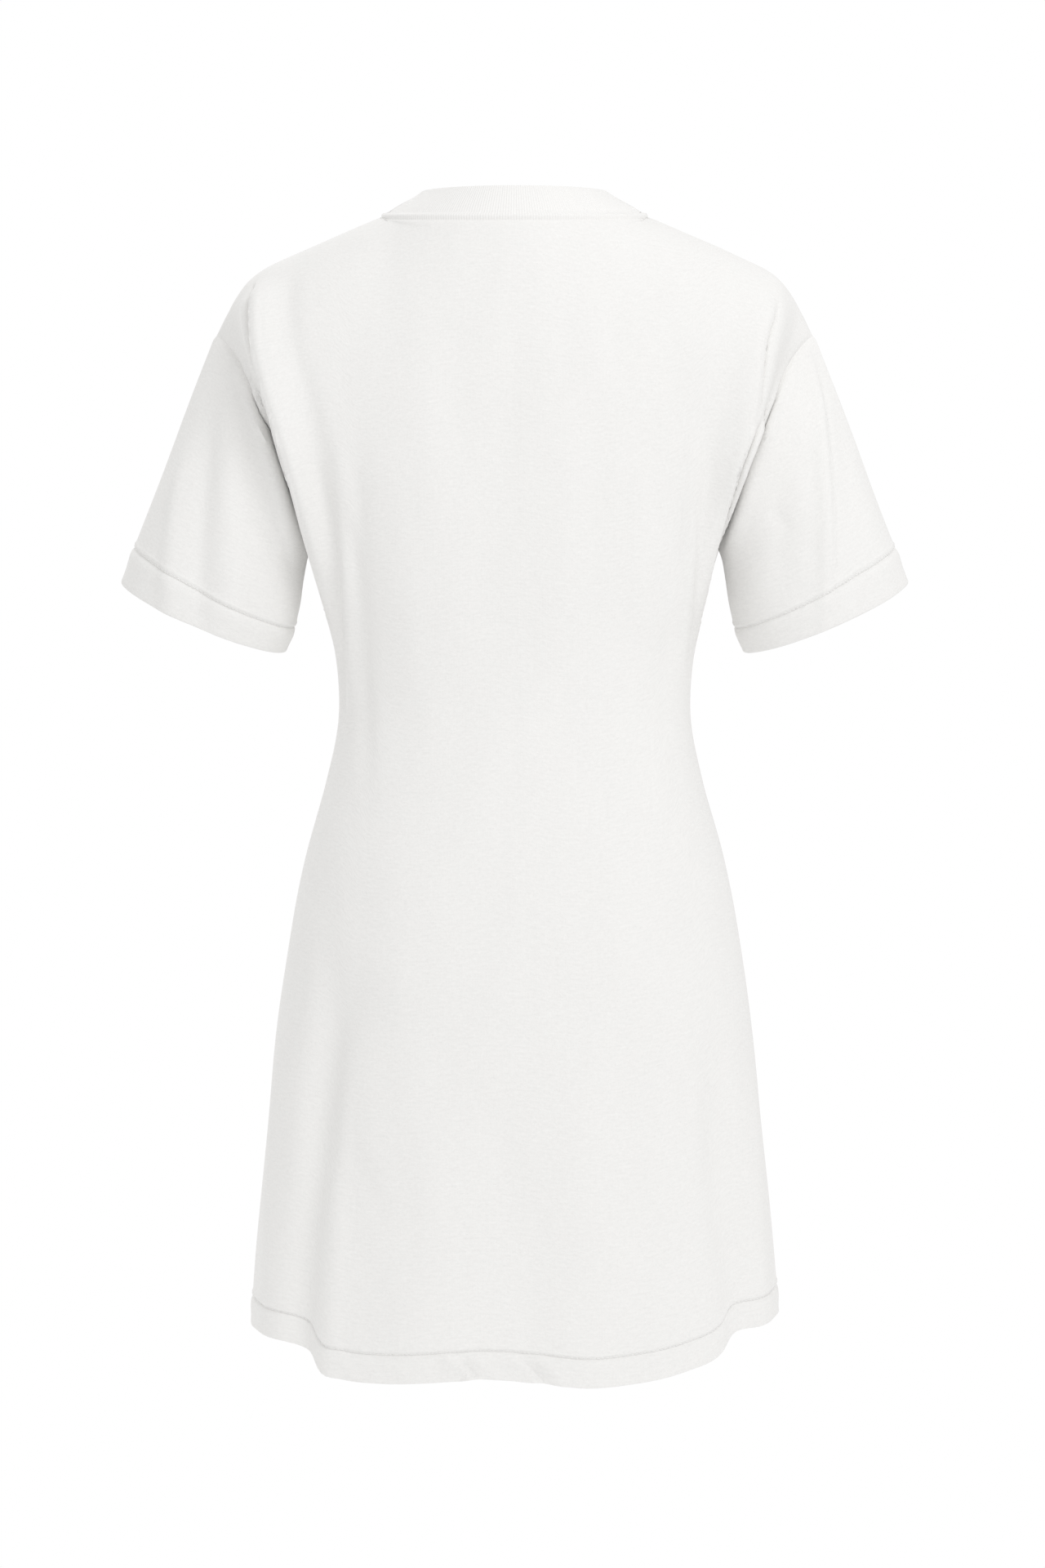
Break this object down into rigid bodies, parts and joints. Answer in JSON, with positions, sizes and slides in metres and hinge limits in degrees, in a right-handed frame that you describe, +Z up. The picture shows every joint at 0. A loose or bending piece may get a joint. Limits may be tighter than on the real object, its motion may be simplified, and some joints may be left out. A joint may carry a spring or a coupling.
{
  "type": "t-shirt dress",
  "caption": "Short-sleeved jersey t-shirt dress in its worn form, with a ribbed round neck, dropped shoulders, a drawn-in waist and a flared mini skirt.",
  "frame": {"origin": "on the centre line, midway between the two high points of the shoulder, where the wearer's neck and shoulders hold the dress up", "axes": "+Z up, +X to the wearer's right, +Y the way the wearer faces, so the back of the dress faces -Y"},
  "size_m": [0.585, 0.2536, 0.8725],
  "materials": {
    "jersey": "matt off-white cotton jersey, single layer, soft and slightly heavy",
    "rib": "matt off-white rib knit, folded double"
  },
  "bodies": {
    "root": {"back": "jersey", "front": "jersey", "sleeve_left": "jersey", "sleeve_right": "jersey", "neck_rib": "rib"}
  },
  "joints": []
}
